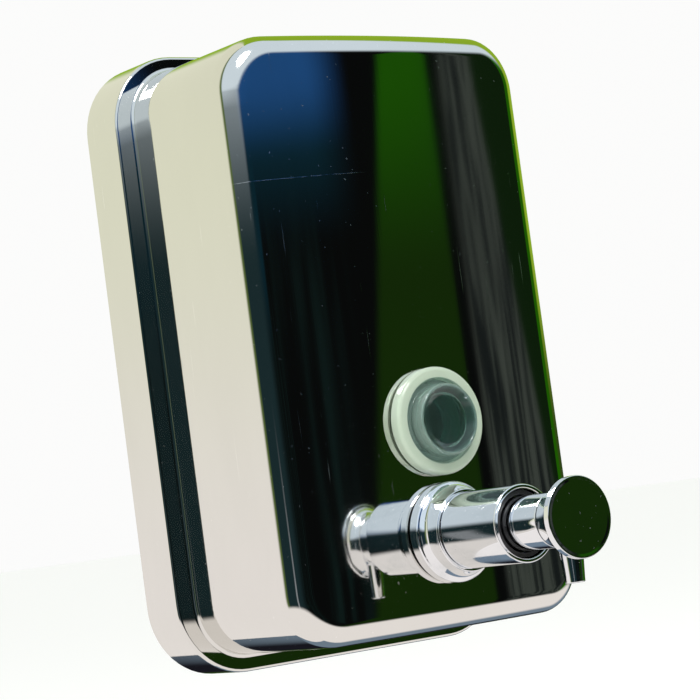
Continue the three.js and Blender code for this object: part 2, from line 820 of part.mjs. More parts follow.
class Helix extends THREE.Curve {
  constructor(radius, turns, [depth0, depth1], z) {
    super();
    Object.assign(this, { radius, turns, depth0, depth1, z });
  }

  getPoint(t, target = new THREE.Vector3()) {
    const angle = 2 * Math.PI * this.turns * t;
    const depth = this.depth0 + (this.depth1 - this.depth0) * t;
    return target.set(this.radius * Math.cos(angle), -depth, this.z + this.radius * Math.sin(angle));
  }
}

function returnSpring() {
  const section = new THREE.Shape().absarc(0, 0, springWireRadius, 0, 2 * Math.PI);
  const clear = gap + 2 * springWireRadius;
  const depths = [springStepDepth + clear, neckRearDepth - clear];
  const path = new Helix(neckRadius - neckWall / 2, springTurns, depths, pumpHeight);
  const steps = springTurns * 12;
  return solid(new THREE.ExtrudeGeometry(section, { steps, extrudePath: path, curveSegments: 3 }));
}

const elbowDepths = [bodyRearDepth - gap - elbowLength, bodyRearDepth - gap];
const tubeDepth = elbowDepths[0] + elbowRadius - elbowWall / 2;
const bossRadius = tubeRadius + gap + elbowWall;
const bossFoot = pumpHeight - elbowRadius - tubeSocketLength / 2;
const tubeTop = bossFoot + tubeSocketLength - gap;
const strainerFoot = tankFloor + strainerClearance;
const tubeFoot = strainerFoot + elbowWall;

function inletElbow() {
  const housing = rod(elbowRadius, elbowDepths, pumpHeight);
  const boss = post(bossRadius, [bossFoot, pumpHeight], tubeDepth);
  const cageRear = elbowDepths[1] - 2 * inletBallRadius - 2 * gap;
  const cage = rod(inletBallRadius + gap, [cageRear, elbowDepths[1] + over], pumpHeight);
  const passage = rod(inletBoreRadius, [tubeDepth, cageRear + over], pumpHeight, coarse);
  const riser = post(tubeBoreRadius, [bossFoot, pumpHeight], tubeDepth, coarse);
  const socket = post(tubeRadius + gap, [bossFoot - over, bossFoot + tubeSocketLength], tubeDepth);
  return cut(join(housing, boss), cage, passage, riser, socket);
}

function inletBall() {
  return ball(inletBallRadius, elbowDepths[1] - inletBallRadius - gap, pumpHeight);
}

function suctionTube() {
  const tube = post(tubeRadius, [tubeFoot, tubeTop], tubeDepth);
  return cut(tube, post(tubeBoreRadius, [tubeFoot - over, tubeTop + over], tubeDepth, coarse));
}

function inletStrainer() {
  const top = strainerFoot + strainerLength;
  const cup = post(strainerRadius, [strainerFoot, top], tubeDepth);
  const socket = post(tubeRadius + gap, [tubeFoot - gap, top + over], tubeDepth);
  const inlet = post(tubeBoreRadius, [strainerFoot - over, top], tubeDepth, coarse);
  const half = strainerSlotWidth / 2;
  const reach = strainerRadius + over;
  const slotHeights = [strainerFoot - over, strainerFoot + strainerSlotWidth];
  const slots = [
    block([-half, half], [tubeDepth - reach, tubeDepth + reach], slotHeights),
    block([-reach, reach], [tubeDepth - half, tubeDepth + half], slotHeights),
  ];
  return cut(cup, socket, inlet, ...slots);
}

// --- Pump: moving pieces ----------------------------------------------------------------------------

const buttonRear = buttonFrontDepth - buttonThickness;
const flareRear = buttonRear - flareLength;
const rodRoom = rodRadius + 2 * runningGap; // bore that the rod's front end stands in
const spoutDepth = buttonFrontDepth - spoutSetback;
const spoutTop = pumpHeight - rodRoom - gap;

function pushButton() {
  const flareRadius = buttonRadius - 2 * gap;
  const flare = Array.from({ length: 6 }, (_, k) => {
    const angle = (k / 5) * (Math.PI / 2);
    const radius = neckRadius + (flareRadius - neckRadius) * (1 - Math.cos(angle));
    return [radius, flareRear + flareLength * Math.sin(angle)];
  });
  const chamberFront = buttonRear - gap;
  const head = turned(
    [
      [rodRoom, flareRear],
      ...flare,
      [buttonRadius, buttonRear],
      [buttonRadius, buttonFrontDepth - gap],
      [buttonRadius - gap, buttonFrontDepth],
      [0, buttonFrontDepth],
      [0, chamberFront],
      [rodRoom, chamberFront],
    ],
    pumpHeight,
  );
  const spoutHole = [pumpHeight - spoutDrop, pumpHeight - rodRoom / 2];
  return cut(head, post(spoutRootRadius + gap, spoutHole, spoutDepth));
}

function neckSleeve() {
  return washer(neckBore, neckRadius, [neckRearDepth, flareRear - gap], pumpHeight);
}

function spout() {
  const tip = pumpHeight - spoutDrop;
  return turnedUpright(
    [
      [spoutBoreRadius, tip],
      [spoutTipRadius, tip],
      [spoutRootRadius, spoutTop],
      [spoutBoreRadius, spoutTop],
    ],
    spoutDepth,
  );
}

const grooveRadius = pistonRadius - sealGrooveDepth;
const grooveMiddle = pistonDepth + pistonLength / 2;
const outletSeatDepth = springStepDepth + outletBallRadius;

function pistonRod() {
  const grooveHalf = sealRingWidth / 2 + gap;
  return turned(
    [
      [rodInletRadius, pistonDepth],
      [pistonRadius, pistonDepth],
      [pistonRadius, grooveMiddle - grooveHalf],
      [grooveRadius, grooveMiddle - grooveHalf],
      [grooveRadius, grooveMiddle + grooveHalf],
      [pistonRadius, grooveMiddle + grooveHalf],
      [pistonRadius, pistonDepth + pistonLength],
      [rodRadius, pistonDepth + pistonLength],
      [rodRadius, neckRearDepth + gap],
      [neckBore - gap, neckRearDepth + gap],
      [neckBore - gap, neckRearDepth + rodRadius],
      [rodRadius, neckRearDepth + rodRadius],
      [rodRadius, flareRear + rodGrip],
      [rodBoreRadius, flareRear + rodGrip],
      [rodBoreRadius, outletSeatDepth],
      [rodInletRadius, outletSeatDepth],
    ],
    pumpHeight,
    medium,
  );
}

function pistonSeal() {
  const depths = [grooveMiddle - sealRingWidth / 2, grooveMiddle + sealRingWidth / 2];
  return washer(grooveRadius + gap, chamberRadius - sealGap, depths, pumpHeight);
}

function outletBall() {
  return ball(outletBallRadius, outletSeatDepth + outletBallRadius + gap, pumpHeight);
}

// --- Assembly -------------------------------------------------------------------------------------

const tank = new THREE.Group();
tank.add(
  part('front_shell', frontShell(), polishedSteel()),
  part('back_plate', backPlate(), plainSteel()),
  part('hanger_strap', hangerStrap(), plainSteel()),
  part('wall_bracket', wallBracket(), plainSteel()),
  part('security_screw', securityScrew(), plainSteel()),
  part('filler_frame', fillerFrame(), plainSteel()),
  part('hinge_leaf', hingeLeaf(), polishedSteel()),
  part('hinge_pin', hingePin(), plainSteel()),
);

const fillerLid = new THREE.Group();
fillerLid.add(
  part('lid', lid(), polishedSteel()),
  part('lid_seal', lidSeal(), blackRubber()),
  part('lock_barrel', lockBarrel(), chrome()),
  part('lock_nut', lockNut(), plainSteel()),
  part('lock_core', lockCore(), chrome()),
  part('lock_cam', lockCam(), plainSteel()),
  part('cam_screw', camScrew(), plainSteel()),
);

const sightWindow = new THREE.Group();
sightWindow.add(
  part('sight_glass', sightGlass(), clearPlastic()),
  part('sight_gasket', sightGasket(), blackRubber()),
  part('sight_nut', sightNut(), whitePlastic()),
);

const pump = new THREE.Group();
pump.add(
  part('collar_nut', collarNut(), chrome()),
  part('outer_gasket', outerGasket(), blackRubber()),
  part('inner_gasket', innerGasket(), blackRubber()),
  part('pump_body', pumpBody(), whitePlastic()),
  part('barrel_sleeve', barrelSleeve(), chrome()),
  part('guide_ring', guideRing(), blackPlastic()),
  part('return_spring', returnSpring(), plainSteel()),
  part('inlet_elbow', inletElbow(), whitePlastic()),
  part('inlet_ball', inletBall(), plainSteel()),
  part('suction_tube', suctionTube(), clearPlastic()),
  part('inlet_strainer', inletStrainer(), whitePlastic()),
);

const pushHead = new THREE.Group();
pushHead.add(
  part('push_button', pushButton(), chrome()),
  part('neck_sleeve', neckSleeve(), chrome()),
  part('spout', spout(), chrome()),
  part('piston_rod', pistonRod(), whitePlastic()),
  part('piston_seal', pistonSeal(), blackRubber()),
  part('outlet_ball', outletBall(), plainSteel()),
);
pump.add(pushHead);

const dispenser = new THREE.Group();
dispenser.add(tank, fillerLid, sightWindow, pump);

export default dispenser;
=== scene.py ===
"""Looks of the wall mounted soap dispenser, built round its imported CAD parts."""

import json
import math

import bmesh
import bpy
from mathutils import Matrix, Vector


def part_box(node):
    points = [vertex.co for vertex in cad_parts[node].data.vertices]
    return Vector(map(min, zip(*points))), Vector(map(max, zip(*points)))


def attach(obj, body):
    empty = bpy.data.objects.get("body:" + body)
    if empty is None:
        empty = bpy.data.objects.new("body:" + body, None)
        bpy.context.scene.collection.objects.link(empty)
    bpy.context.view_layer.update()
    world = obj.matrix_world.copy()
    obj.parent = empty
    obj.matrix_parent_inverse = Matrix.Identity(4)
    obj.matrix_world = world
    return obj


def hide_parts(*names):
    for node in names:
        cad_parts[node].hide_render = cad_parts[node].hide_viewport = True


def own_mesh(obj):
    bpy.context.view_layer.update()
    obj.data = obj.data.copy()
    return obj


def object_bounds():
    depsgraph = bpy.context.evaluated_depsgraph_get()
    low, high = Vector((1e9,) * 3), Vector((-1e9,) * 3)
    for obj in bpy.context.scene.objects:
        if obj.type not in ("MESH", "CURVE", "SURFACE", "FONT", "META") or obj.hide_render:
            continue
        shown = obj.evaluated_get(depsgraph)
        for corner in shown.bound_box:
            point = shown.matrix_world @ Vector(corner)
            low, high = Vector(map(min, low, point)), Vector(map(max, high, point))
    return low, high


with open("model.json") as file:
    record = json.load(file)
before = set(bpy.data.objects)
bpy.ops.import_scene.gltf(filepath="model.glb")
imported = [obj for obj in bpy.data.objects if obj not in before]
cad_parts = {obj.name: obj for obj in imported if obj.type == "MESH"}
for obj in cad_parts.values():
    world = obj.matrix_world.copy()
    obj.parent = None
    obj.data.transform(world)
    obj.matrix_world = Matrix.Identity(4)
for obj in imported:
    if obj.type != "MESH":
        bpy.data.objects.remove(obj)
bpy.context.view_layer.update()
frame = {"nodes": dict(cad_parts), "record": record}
MM = 0.001

# --- Sizes in metres, those of the CAD part where no comment says otherwise -----------------------------

SHELL_LOW, SHELL_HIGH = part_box("front_shell")
RIM_HALF = SHELL_HIGH.x
RIM_TOP = SHELL_HIGH.z
RIM_BOTTOM = SHELL_LOW.z
FRONT_DEPTH = -SHELL_LOW.y
LEDGE_SIDE = 5.6 * MM
LEDGE_TOP = 4 * MM
LEDGE_BOTTOM = 4.6 * MM
HALF_WIDTH = RIM_HALF - LEDGE_SIDE
BOX_TOP = RIM_TOP - LEDGE_TOP
BOX_BOTTOM = RIM_BOTTOM + LEDGE_BOTTOM
CROWN_RISE = 4.2 * MM
EDGE_DEPTH = FRONT_DEPTH - CROWN_RISE
RIM_DEPTH = 14.5 * MM
BOX_CORNER = 14.4 * MM
RIM_CORNER = 19.5 * MM
FRONT_FILLET = 5.6 * MM
RIM_EDGE = 0.8 * MM  # tighter than in the CAD part
LEDGE_FILLET = 1.1 * MM  # tighter than in the CAD part
SHELL_WALL = 1 * MM
GAP = 0.3 * MM
RUNNING_GAP = 0.35 * MM  # between pieces that slide or turn in each other
SKIRT = 0.8 * MM  # rim of a fitting that hides its gasket

LID_REAR = 25 * MM  # wall to the rear edge of the lid, without its knuckle
LID_CORNER = 3 * MM
SCREW_SHANK = 1.5 * MM
LOCK_BODY = 5 * MM

SIGHT_TUBE = 10.2 * MM
SIGHT_FLANGE = 2.2 * MM
SIGHT_DOME_RISE = 3.4 * MM  # dome in front of the flange
SIGHT_DOME_STEP = 1 * MM  # dome narrower than the tube
SIGHT_GROOVE = 1.1 * MM
SIGHT_GROOVE_REACH = 0.8 * MM  # groove's outer edge beyond the tube
SIGHT_DISH = 1.3 * MM
SIGHT_WALL = 1.7 * MM
SIGHT_EDGE = 1.1 * MM  # rounding of the flange
SIGHT_LIP = 0.65 * MM  # rounding of the dome, left out of the CAD part
WINDOW_RADIUS = 10.6 * MM  # inside it the sight glass is clear

PUMP_BODY_RADIUS = 8.3 * MM
NECK_WALL = 1.3 * MM
GASKET = 1 * MM
COLLAR_RIM = 2.2 * MM
COLLAR_NOSE = 0.75 * MM  # nose of the collar beyond the barrel
BUTTON_THICKNESS = 1.8 * MM
BUTTON_RIM = 0.6 * MM  # flat rim round the dished push face
BUTTON_DISH = 0.12 * MM
ROD_ROOM = 3.9 * MM  # radius of the room for the piston rod
SPOUT_TIP = 2.4 * MM
SPOUT_BORE = 1.5 * MM
SPRING_WIRE = 0.42 * MM
SPRING_TURNS = 7

SCRATCH_HEIGHT = BOX_TOP - 36.2 * MM  # long scratch, on the middle line of the face
SCRATCH_SLOPE = 0.03

CORNER_STEPS = 14
EDGE_STEPS = 30
FILLET_STEPS = 12
FACE_RINGS = 18
ROUND = 96  # segments of a turned piece
WIRE_SIDES = 8
WIRE_STEPS = 24  # of the spring's wire, for each turn
STRAIGHT = math.radians(160)  # a profile corner flatter than this stays sharp


# --- Mesh helpers --------------------------------------------------------------------------------------


def add_mesh(name, points, faces, body, material, replaced, sharp=40):
    """A smooth-shaded mesh that rides on a body and stands for a CAD node."""
    mesh = bpy.data.meshes.new(name)
    mesh.from_pydata([tuple(p) for p in points], [], faces)
    mesh.validate()
    mesh.materials.append(material)
    piece = bpy.data.objects.new(name, mesh)
    bpy.context.scene.collection.objects.link(piece)
    finish_shading(piece, sharp)
    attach(piece, body)
    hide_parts(*replaced)
    return piece


def finish_shading(piece, sharp):
    mesh = piece.data
    mesh.polygons.foreach_set("use_smooth", [True] * len(mesh.polygons))
    mesh.set_sharp_from_angle(angle=math.radians(sharp))
    mesh.update()


def rounded(profile, radius, steps=4):
    """The closed profile with each corner turned into an arc of up to this radius.
    A point beside each arc keeps its shading off the straight stretches."""
    most = 0.35  # share of a straight stretch that one arc may take
    beside = 1.35
    result = []
    count = len(profile)
    for k, corner in enumerate(profile):
        here = Vector(corner)
        before = Vector(profile[k - 1]) - here
        after = Vector(profile[(k + 1) % count]) - here
        on_axis = here.x < 1e-7
        if on_axis or min(before.length, after.length) < 1e-7 or before.angle(after) > STRAIGHT:
            result.append(tuple(here))
            continue
        reach = radius / math.tan(before.angle(after) / 2)
        reach = min(reach, most * before.length, most * after.length)
        start = here + before.normalized() * reach
        end = here + after.normalized() * reach
        result.append(tuple(here + before.normalized() * reach * beside))
        for i in range(steps + 1):
            t = i / steps
            point = start * (1 - t) ** 2 + here * (2 * t * (1 - t)) + end * t**2
            result.append(tuple(point))
        result.append(tuple(here + after.normalized() * reach * beside))
    return result


def turned(profile, centre, upright=False, segments=ROUND):
    """Points and faces of a profile of (radius, position along the axis) turned round its axis.
    The axis runs forwards from the wall, or up."""
    points = []
    faces = []
    count = len(profile)
    for i in range(segments):
        angle = 2 * math.pi * i / segments
        for radius, along in profile:
            across = radius * math.cos(angle)
            over = radius * math.sin(angle)
            if upright:
                points.append(centre + Vector((across, over, along)))
            else:
                points.append(centre + Vector((across, -along, over)))
    for i in range(segments):
        j = (i + 1) % segments
        for k in range(count):
            m = (k + 1) % count
            if profile[k][0] < 1e-9 and profile[m][0] < 1e-9:
                continue
            quad = [i * count + k, i * count + m, j * count + m, j * count + k]
            if profile[k][0] < 1e-9:
                quad = [k, i * count + m, j * count + m]
            elif profile[m][0] < 1e-9:
                quad = [i * count + k, m, j * count + k]
            faces.append(quad if upright else quad[::-1])
    return points, faces


def without_loose(points, faces):
    """The same mesh without the points that no face uses."""
    used = sorted({index for face in faces for index in face})
    renumbered = {old: new for new, old in enumerate(used)}
    return [points[i] for i in used], [[renumbered[i] for i in face] for face in faces]


def add_turned(name, profile, centre, body, material, upright=False, edge=0.2 * MM):
    points, faces = without_loose(*turned(rounded(profile, edge), centre, upright))
    piece = add_mesh(name + "_skin", points, faces, body, material, [name])
    outward(piece)
    return piece


def outward(piece):
    """Turns every face's front side out."""
    work = bmesh.new()
    work.from_mesh(piece.data)
    bmesh.ops.recalc_face_normals(work, faces=work.faces)
    work.to_mesh(piece.data)
    work.free()
    piece.data.update()


def middle(node):
    low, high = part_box(node)
    return (low + high) / 2


def depths(node):
    """How far the rear and the front of a node stand from the wall."""
    low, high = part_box(node)
    return -high.y, -low.y


def radius_of(node):
    low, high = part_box(node)
    return (high.x - low.x) / 2


def axis_along(node):
    """A point of the forward axis through a round node."""
    return Vector((0, 0, middle(node).z))


def axis_up(node):
    """A point of the upright axis through a round node."""
    centre = middle(node)
    return Vector((centre.x, centre.y, 0))


def quarter_turn(steps):
    return [k / steps * math.pi / 2 for k in range(steps + 1)]


# --- Shader helpers ------------------------------------------------------------------------------------


class Shader:
    """A node tree with short calls for the nodes used here."""

    def __init__(self, tree):
        self.tree = tree
        tree.nodes.clear()

    def link(self, target, value):
        if isinstance(value, bpy.types.NodeSocket):
            self.tree.links.new(value, target)
        else:
            target.default_value = value

    def add(self, kind, inputs=(), **settings):
        node = self.tree.nodes.new(kind)
        for name, value in settings.items():
            setattr(node, name, value)
        for key, value in dict(inputs).items():
            self.link(node.inputs[key], value)
        return node

    def math(self, operation, first, second=0.0, clamp=False):
        node = self.add("ShaderNodeMath", {0: first, 1: second}, operation=operation)
        node.use_clamp = clamp
        return node.outputs[0]

    def step(self, value, low, high, start=0.0, end=1.0):
        """A smooth ramp from start at low to end at high."""
        inputs = {"Value": value, "From Min": low, "From Max": high, "To Min": start, "To Max": end}
        node = self.add("ShaderNodeMapRange", inputs, interpolation_type="SMOOTHSTEP")
        return node.outputs[0]

    def mix(self, factor, first, second, blend="MIX"):
        node = self.add("ShaderNodeMix", data_type="RGBA", blend_type=blend)
        for index, value in ((0, factor), (6, first), (7, second)):
            self.link(node.inputs[index], value)
        return node.outputs[2]

    def layers(self, base, rows):
        """Lays colours over a base. A row is an angle, where its colour starts, where it is full, and it."""
        for angle, start, full, colour in rows:
            base = self.mix(self.step(angle, start, full), base, colour)
        return base

    def place(self, scale=(1, 1, 1), rotation=(0, 0, 0)):
        """Object coordinates in metres, scaled and turned."""
        coordinates = self.add("ShaderNodeTexCoord").outputs["Object"]
        inputs = {"Vector": coordinates, "Scale": scale, "Rotation": rotation}
        return self.add("ShaderNodeMapping", inputs).outputs[0]

    def noise(self, vector, scale, detail=2.0, roughness=0.5):
        inputs = {"Vector": vector, "Scale": scale, "Detail": detail, "Roughness": roughness}
        return self.add("ShaderNodeTexNoise", inputs).outputs[0]

    def stretched(self, vector, scale, detail):
        """Noise with a scale of its own along each axis."""
        mapped = self.add("ShaderNodeMapping", {"Vector": vector, "Scale": scale}).outputs[0]
        return self.noise(mapped, 3.0, detail)

    def bump(self, height, strength, distance, normal=None):
        inputs = {"Height": height, "Strength": strength, "Distance": distance}
        if normal is not None:
            inputs["Normal"] = normal
        return self.add("ShaderNodeBump", inputs).outputs[0]


def grey(value):
    return (value, value, value, 1)


def new_material(name):
    material = bpy.data.materials.new(name)
    material.use_nodes = True
    return material, Shader(material.node_tree)


def surface(shader, inputs):
    node = shader.add("ShaderNodeBsdfPrincipled", inputs)
    shader.add("ShaderNodeOutputMaterial", {"Surface": node.outputs[0]})


# --- Materials -----------------------------------------------------------------------------------------


def scratches(shader, angle, scale, share):
    """Fine straight scratches along one direction: 1 on a scratch, 0 elsewhere."""
    vector = shader.place((scale, scale, scale * 0.02), (0, angle, 0))
    lines = shader.noise(vector, 1.0, 1.0)
    breaks = shader.noise(shader.place((90, 90, 90), (0, angle, 0)), 1.0, 2.0)
    line = shader.step(lines, 0.5 + share, 0.5 + share + 0.03)
    return shader.math("MULTIPLY", line, shader.step(breaks, 0.5, 0.62))


def long_scratch(shader):
    """One faint scratch across the upper left of the front face, broken in places."""
    coordinates = shader.add("ShaderNodeTexCoord").outputs["Object"]
    x, y, z = shader.add("ShaderNodeSeparateXYZ", {0: coordinates}).outputs
    line = shader.math("ADD", SCRATCH_HEIGHT, shader.math("MULTIPLY", x, SCRATCH_SLOPE))
    off = shader.math("ABSOLUTE", shader.math("SUBTRACT", z, line))
    near = shader.step(off, 0.12 * MM, 0.04 * MM)
    left = shader.step(x, -8 * MM, -16 * MM)
    front = shader.step(y, -50 * MM, -56 * MM)
    broken = shader.step(shader.noise(shader.place((300, 300, 300)), 1.0, 2.0), 0.38, 0.55, 0.2, 0.9)
    span = shader.math("MULTIPLY", left, front)
    return shader.math("MULTIPLY", shader.math("MULTIPLY", near, span), broken)


def mirror_steel(name, tint, base_roughness):
    """Mirror-polished sheet steel: vertical grain, a few hairline scratches, faint smears and specks."""
    material, shader = new_material(name)
    grain = shader.noise(shader.place((2600, 2600, 26)), 1.0, 2.0)
    smear = shader.noise(shader.place((22, 22, 9)), 1.0, 4.0, 0.6)
    speck = shader.step(shader.noise(shader.place((1400, 1400, 1400)), 1.0, 0.0), 0.83, 0.87)
    upright = scratches(shader, 0.12, 1300, 0.24)
    lying = scratches(shader, -1.2, 1300, 0.25)
    hairline = shader.math("MAXIMUM", shader.math("MAXIMUM", upright, lying), long_scratch(shader))
    worn = shader.math("MAXIMUM", hairline, speck)
    roughness = shader.step(smear, 0.35, 0.75, base_roughness, base_roughness + 0.05)
    roughness = shader.math("ADD", roughness, shader.math("MULTIPLY", worn, 0.2))
    colour = shader.mix(shader.step(smear, 0.3, 0.8), tint, [c * 0.95 for c in tint[:3]] + [1])
    colour = shader.mix(shader.math("MULTIPLY", worn, 0.35), colour, (1, 1, 1, 1))
    normal = shader.bump(grain, 0.05, 0.02 * MM)
    normal = shader.bump(hairline, 0.1, 0.02 * MM, normal)
    surface(shader, {"Base Color": colour, "Metallic": 1.0, "Roughness": roughness, "Normal": normal})
    return material


def satin_steel(name):
    """Plain rolled sheet steel with a directional mill finish."""
    material, shader = new_material(name)
    grain = shader.noise(shader.place((1800, 1800, 40)), 1.0, 3.0)
    cloud = shader.noise(shader.place((45, 45, 45)), 1.0, 4.0, 0.6)
    colour = shader.mix(cloud, (0.48, 0.48, 0.47, 1), (0.62, 0.62, 0.60, 1))
    roughness = shader.step(grain, 0.2, 0.8, 0.24, 0.4)
    roughness = shader.math("ADD", roughness, shader.step(cloud, 0.4, 0.8, 0.0, 0.08))
    normal = shader.bump(grain, 0.25, 0.03 * MM)
    surface(shader, {"Base Color": colour, "Metallic": 1.0, "Roughness": roughness, "Normal": normal})
    return material


def chrome_plate(name):
    """Bright plating with a slight ripple, water marks and small pits."""
    material, shader = new_material(name)
    ripple = shader.noise(shader.place((260, 260, 260)), 1.0, 2.0)
    marks = shader.noise(shader.place((120, 60, 120)), 1.0, 5.0, 0.65)
    pits = shader.step(shader.noise(shader.place((1500, 1500, 1500)), 1.0, 0.0), 0.79, 0.84)
    roughness = shader.step(marks, 0.4, 0.75, 0.03, 0.12)
    roughness = shader.math("ADD", roughness, shader.math("MULTIPLY", pits, 0.25))
    colour = shader.mix(shader.step(marks, 0.45, 0.75), (0.86, 0.87, 0.89, 1), (0.76, 0.78, 0.80, 1))
    normal = shader.bump(ripple, 0.06, 0.05 * MM)
    normal = shader.bump(pits, 0.2, 0.02 * MM, normal)
    surface(shader, {"Base Color": colour, "Metallic": 1.0, "Roughness": roughness, "Normal": normal})
    return material


def rubber(name, tint, base_roughness):
    """Black rubber or moulded plastic with a fine matt texture and patches of dust."""
    material, shader = new_material(name)
    fine = shader.noise(shader.place((2500, 2500, 2500)), 1.0, 2.0)
    dust = shader.noise(shader.place((150, 150, 150)), 1.0, 5.0, 0.7)
    colour = shader.mix(shader.step(dust, 0.55, 0.8), tint, grey(0.09))
    roughness = shader.step(dust, 0.3, 0.7, base_roughness, base_roughness + 0.2)
    normal = shader.bump(fine, 0.3, 0.05 * MM)
    surface(shader, {"Base Color": colour, "Roughness": roughness, "Normal": normal})
    return material


def white_moulding(name):
    """White injection-moulded plastic, slightly yellowed in patches."""
    material, shader = new_material(name)
    patches = shader.noise(shader.place((70, 70, 70)), 1.0, 4.0, 0.6)
    fine = shader.noise(shader.place((1800, 1800, 1800)), 1.0, 2.0)
    colour = shader.mix(patches, (0.78, 0.78, 0.74, 1), (0.66, 0.65, 0.58, 1))
    roughness = shader.step(fine, 0.3, 0.7, 0.32, 0.48)
    normal = shader.bump(fine, 0.15, 0.03 * MM)
    inputs = {"Base Color": colour, "Roughness": roughness, "Normal": normal}
    surface(shader, inputs | {"Subsurface Weight": 0.1, "Subsurface Scale": 1 * MM})
    return material


def clear_moulding(name, centre=None):
    """Clear plastic. Round a centre it is milky outside the window radius, and clear inside it."""
    material, shader = new_material(name)
    cloud = shader.noise(shader.place((160, 160, 160)), 1.0, 4.0, 0.6)
    fine = shader.noise(shader.place((1200, 1200, 1200)), 1.0, 2.0)
    roughness = shader.step(cloud, 0.3, 0.8, 0.05, 0.14)
    roughness = shader.math("ADD", roughness, shader.step(fine, 0.7, 0.9, 0, 0.2))
    colour = shader.mix(cloud, (0.62, 0.71, 0.57, 1), (0.52, 0.62, 0.49, 1))
    transmission = shader.step(cloud, 0.2, 0.8, 0.75, 0.9)
    if centre is not None:
        milky = milkiness(shader, centre)
        transmission = shader.math("SUBTRACT", 0.98, shader.math("MULTIPLY", milky, 0.55))
        colour = shader.mix(milky, (0.36, 0.60, 0.54, 1), colour)
    normal = shader.bump(cloud, 0.08, 0.1 * MM)
    inputs = {"Base Color": colour, "Roughness": roughness, "Normal": normal}
    surface(shader, inputs | {"Transmission Weight": transmission, "IOR": 1.49})
    return material


def milkiness(shader, centre):
    """How milky the sight glass is: 0 in its window, 0.4 in the tube's wall and 1 in the flange."""
    coordinates = shader.add("ShaderNodeTexCoord").outputs["Object"]
    offset = shader.add("ShaderNodeVectorMath", {0: coordinates, 1: centre}, operation="SUBTRACT")
    flat = shader.add("ShaderNodeVectorMath", {0: offset.outputs[0], 1: (1, 0, 1)}, operation="MULTIPLY")
    length = shader.add("ShaderNodeVectorMath", {0: flat.outputs[0]}, operation="LENGTH")
    radius = length.outputs["Value"]
    tube = shader.step(radius, WINDOW_RADIUS * 0.75, WINDOW_RADIUS * 0.83, 0.0, 0.4)
    flange = shader.step(radius, WINDOW_RADIUS * 1.01, WINDOW_RADIUS * 1.06, 0.0, 0.6)
    return shader.math("ADD", tube, flange)


# --- Shell ---------------------------------------------------------------------------------------------


def outline(half, top, bottom, radius, inset):
    """A rounded rectangle in the plane of the wall, as a list of (x, z), drawn in by inset."""
    r = max(radius - inset, 0.5 * MM)
    w, t, b = half - inset, top - inset, bottom + inset
    corners = [(w - r, t - r, 0), (-w + r, t - r, 90), (-w + r, b + r, 180), (w - r, b + r, 270)]
    points = []
    for index, (x, z, start) in enumerate(corners):
        for k in range(CORNER_STEPS + 1):
            angle = math.radians(start + 90 * k / CORNER_STEPS)
            points.append((x + r * math.cos(angle), z + r * math.sin(angle)))
        from_point = points[-1]
        x, z, start = corners[(index + 1) % 4]
        angle = math.radians(start)
        to_point = (x + r * math.cos(angle), z + r * math.sin(angle))
        for k in range(1, EDGE_STEPS):
            share = k / EDGE_STEPS
            points.append(tuple(a + (c - a) * share for a, c in zip(from_point, to_point)))
    return points


def box_outline(inset):
    return outline(HALF_WIDTH, BOX_TOP, BOX_BOTTOM, BOX_CORNER, inset)


def rim_outline(inset):
    return outline(RIM_HALF, RIM_TOP, RIM_BOTTOM, RIM_CORNER, inset)


def crown(x):
    return CROWN_RISE * (1 - (x / HALF_WIDTH) ** 2)


def shell_rings(inset):
    """The shell's outer form, or its inner one with an inset, as rings from the wall to the face's middle."""
    rings = [[(x, 0.0, z) for x, z in rim_outline(inset)]]
    support = 0.5 * MM  # rings beside each fillet, so that its shading stays off the flats
    quarters = quarter_turn(FILLET_STEPS)

    def ring(points, depth, share=1.0):
        rings.append([(x * share, depth(x * share), z * share) for x, z in points])

    ring(rim_outline(inset), lambda x: RIM_DEPTH - RIM_EDGE - support - inset)
    for angle in quarters:
        depth = RIM_DEPTH - RIM_EDGE * (1 - math.sin(angle)) - inset
        ring(rim_outline(inset + RIM_EDGE * (1 - math.cos(angle))), lambda x, d=depth: d)
    for angle in quarters:
        depth = RIM_DEPTH + LEDGE_FILLET * (1 - math.cos(angle)) - inset
        ring(box_outline(inset - LEDGE_FILLET * (1 - math.sin(angle))), lambda x, d=depth: d)
    ring(box_outline(inset), lambda x: RIM_DEPTH + LEDGE_FILLET + support - inset)
    ring(box_outline(inset), lambda x: EDGE_DEPTH - FRONT_FILLET - support - inset + crown(x))
    for angle in quarters:
        depth = EDGE_DEPTH - FRONT_FILLET * (1 - math.sin(angle)) - inset
        ring(box_outline(inset + FRONT_FILLET * (1 - math.cos(angle))), lambda x, d=depth: d + crown(x))
    ring(box_outline(inset + FRONT_FILLET + support), lambda x: EDGE_DEPTH - inset + crown(x))
    for k in range(1, FACE_RINGS):
        share = 1 - k / FACE_RINGS
        ring(box_outline(inset + FRONT_FILLET), lambda x: EDGE_DEPTH - inset + crown(x), share)
    return rings


def shell_mesh():
    points = []
    faces = []
    starts = []
    for inset in (0.0, SHELL_WALL):
        rings = shell_rings(inset)
        count = len(rings[0])
        start = len(points)
        starts.append(start)
        points += [(x, -depth, z) for ring in rings for x, depth, z in ring]
        points.append((0, -(FRONT_DEPTH - inset), 0))
        for i in range(count):
            j = (i + 1) % count
            for k in range(len(rings) - 1):
                a, b = start + k * count + i, start + k * count + j
                faces.append([a, b, b + count, a + count])
            last = start + (len(rings) - 1) * count
            faces.append([last + i, last + j, len(points) - 1])
    for i in range(count):
        j = (i + 1) % count
        faces.append([starts[0] + i, starts[0] + j, starts[1] + j, starts[1] + i])
    return points, faces


